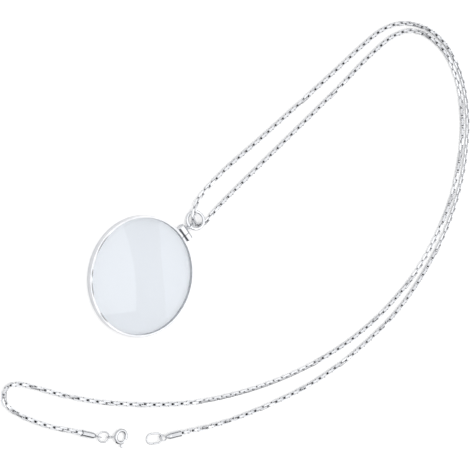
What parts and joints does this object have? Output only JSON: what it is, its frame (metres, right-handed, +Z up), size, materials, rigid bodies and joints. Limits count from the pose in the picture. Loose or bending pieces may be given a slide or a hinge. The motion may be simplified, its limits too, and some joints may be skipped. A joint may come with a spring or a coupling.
{
  "type": "magnifier_pendant",
  "caption": "Round magnifying glass in a split silver-tone rim, hung by a ring on a long fine link chain with capped ends and a spring ring clasp, lying flat",
  "frame": {"origin": "centre of the glass, on the surface that the piece lies on", "axes": "+Z is up from that surface, +Y points from the glass to its bail, +X is to the right of the bail seen from above, on the side where the chain's wide curve lies"},
  "size_m": [0.1183, 0.2386, 0.0042],
  "materials": {
    "glass": "clear",
    "silver": "polished",
    "chain_silver": "polished",
    "screw_steel": "satin"
  },
  "bodies": {
    "necklace": {"lens": "glass", "rim": "silver", "closing_screw": "screw_steel", "bail_ring": "silver", "chain_inner": "chain_silver", "chain_outer": "chain_silver", "end_cap_a": "silver", "end_cap_b": "silver", "jump_ring_a": "silver", "jump_ring_b": "silver", "spring_ring": "silver"},
    "latch": {"spring_latch": "screw_steel"}
  },
  "joints": [
    {"name": "latch_pull", "type": "hinge", "parent": "necklace", "child": "latch", "pos_m": [0.04056, -0.04386, 0.00088], "axis": [-0.0557, -0.0576, -0.9968], "range_deg": [0, 50], "stiffness_Nm_per_rad": 0.008}
  ]
}
